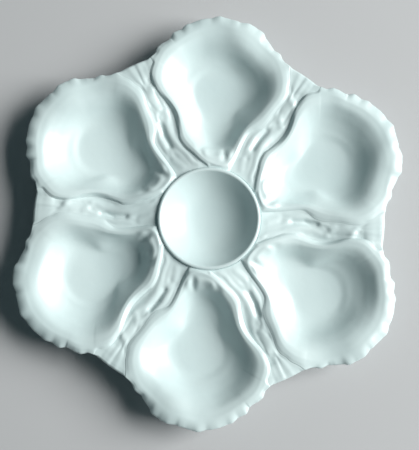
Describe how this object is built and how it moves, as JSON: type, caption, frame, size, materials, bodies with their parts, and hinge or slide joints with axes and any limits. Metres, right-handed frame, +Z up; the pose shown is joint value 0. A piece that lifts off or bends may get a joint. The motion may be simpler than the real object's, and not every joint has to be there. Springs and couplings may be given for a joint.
{
  "type": "oyster plate",
  "caption": "White glazed porcelain oyster plate: moulded oyster-shell wells round a round sauce well, with seaweed webs between them, on a foot ring.",
  "frame": {"origin": "centre of the foot ring's resting plane", "axes": "+Z up through the sauce well's middle; the first shell's axis lies 27 degrees from +X towards +Y"},
  "size_m": [0.214, 0.2296, 0.0212],
  "materials": {
    "porcelain": "gloss glaze"
  },
  "bodies": {
    "root": {"sauce_well": "porcelain", "foot_ring": "porcelain", "oyster_well_1": "porcelain", "oyster_well_2": "porcelain", "oyster_well_3": "porcelain", "oyster_well_4": "porcelain", "oyster_well_5": "porcelain", "oyster_well_6": "porcelain", "seaweed_web_1": "porcelain", "seaweed_web_2": "porcelain", "seaweed_web_3": "porcelain", "seaweed_web_4": "porcelain", "seaweed_web_5": "porcelain", "seaweed_web_6": "porcelain"}
  },
  "joints": []
}
